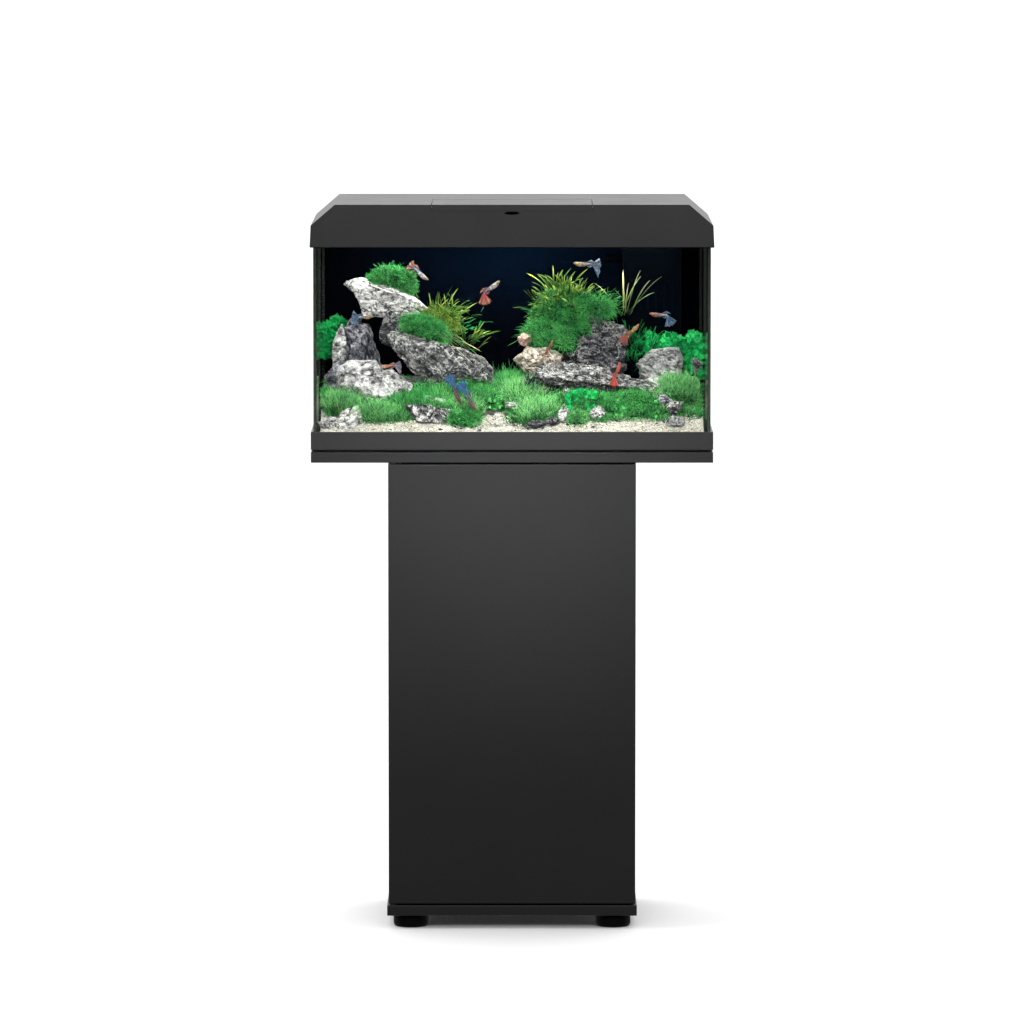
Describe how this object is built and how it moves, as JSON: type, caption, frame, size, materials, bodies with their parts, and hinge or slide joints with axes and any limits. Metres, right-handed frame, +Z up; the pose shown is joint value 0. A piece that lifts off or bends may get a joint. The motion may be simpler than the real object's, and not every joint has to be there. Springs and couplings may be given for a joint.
{
  "type": "aquarium on stand",
  "caption": "Rectangular glass tank with planted rockwork and a chamfered hood, on a slim pedestal cabinet with a full-height swinging door and round feet.",
  "frame": {"origin": "on the floor, under the middle of the object", "axes": "+Z up, front of the tank and the cabinet door towards -Y, +X to the right seen from the front"},
  "size_m": [0.6118, 0.312, 1.1055],
  "materials": {
    "laminate_black": "satin laminate",
    "hood_plastic": "satin moulded",
    "foot_plastic": "matte",
    "glass_clear": "polished",
    "silicone": "satin",
    "backdrop": "matte film",
    "led_metal": "brushed",
    "led_lens": "frosted",
    "steel": "brushed",
    "nylon": "moulded",
    "filter_plastic": "satin",
    "sponge": "open foam",
    "heater_glass": "smoked",
    "sand": "fine gravel",
    "rock": "weathered",
    "moss": "leafy"
  },
  "bodies": {
    "stand_and_tank": {"back_pane": "glass_clear", "back_panel": "laminate_black", "backdrop_film": "backdrop", "base_board": "laminate_black", "bottom_pane": "glass_clear", "door_pin_lower": "steel", "door_pin_upper": "steel", "filter_housing": "filter_plastic", "foot_1": "foot_plastic", "foot_2": "foot_plastic", "foot_3": "foot_plastic", "foot_4": "foot_plastic", "front_pane": "glass_clear", "heater_tube": "heater_glass", "latch_housing": "hood_plastic", "left_pane": "glass_clear", "left_side_panel": "laminate_black", "moss_left": "moss", "moss_right": "moss", "pump_body": "filter_plastic", "pump_cover": "filter_plastic", "pump_riser": "filter_plastic", "right_pane": "glass_clear", "right_side_panel": "laminate_black", "rock_left_back": "rock", "rock_left_cap": "rock", "rock_left_front": "rock", "rock_left_middle": "rock", "rock_left_slab": "rock", "rock_right_boulder": "rock", "rock_right_core": "rock", "rock_right_ledge": "rock", "shelf": "laminate_black", "shelf_pin_1": "steel", "shelf_pin_2": "steel", "shelf_pin_3": "steel", "shelf_pin_4": "steel", "silicone_seam": "silicone", "sponge_coarse": "sponge", "sponge_fine": "sponge", "substrate": "sand", "tank_base_frame": "hood_plastic", "tank_rim": "hood_plastic", "top_board": "laminate_black"},
    "door": {"door": "laminate_black", "door_bush_upper": "nylon", "door_bush_lower": "nylon", "latch_strike_plate": "steel"},
    "latch_plunger": {"latch_plunger": "nylon"},
    "hood": {"hood_shell": "hood_plastic", "flap_hinge_rod": "steel", "cable_grommet": "silicone", "led_rail": "led_metal", "led_diffuser": "led_lens", "led_hanger_left": "steel", "led_hanger_right": "steel"},
    "feeding_flap": {"feeding_flap": "hood_plastic"},
    "pump_impeller": {"pump_impeller": "nylon"},
    "pump_nozzle": {"pump_nozzle": "filter_plastic"},
    "heater_knob": {"heater_knob": "filter_plastic"}
  },
  "joints": [
    {"name": "door_swing", "type": "hinge", "parent": "stand_and_tank", "child": "door", "pos_m": [-0.181, -0.147, 0.375], "axis": [0, 0, -1], "range_deg": [0, 105]},
    {"name": "latch_press", "type": "slide", "parent": "stand_and_tank", "child": "latch_plunger", "axis": [0, 1, 0], "range_m": [0, 0.002], "stiffness_N_per_m": 150},
    {"name": "hood_lift", "type": "slide", "parent": "stand_and_tank", "child": "hood", "axis": [0, 0, 1], "range_m": [0, 0.2]},
    {"name": "feeding_flap_hinge", "type": "hinge", "parent": "hood", "child": "feeding_flap", "pos_m": [0, -0.007, 1.1035], "axis": [-1, 0, 0], "range_deg": [0, 95]},
    {"name": "pump_spin", "type": "hinge", "parent": "stand_and_tank", "child": "pump_impeller", "pos_m": [0.196, 0.1125, 0.827], "axis": [0, 1, 0], "continuous": true},
    {"name": "nozzle_swivel", "type": "hinge", "parent": "stand_and_tank", "child": "pump_nozzle", "pos_m": [0.196, 0.1205, 0.9953], "axis": [0, 0, 1], "range_deg": [-15, 25]},
    {"name": "heater_knob_turn", "type": "hinge", "parent": "stand_and_tank", "child": "heater_knob", "pos_m": [0.237, 0.1205, 0.985], "axis": [0, 0, 1], "range_deg": [0, 240]}
  ]
}
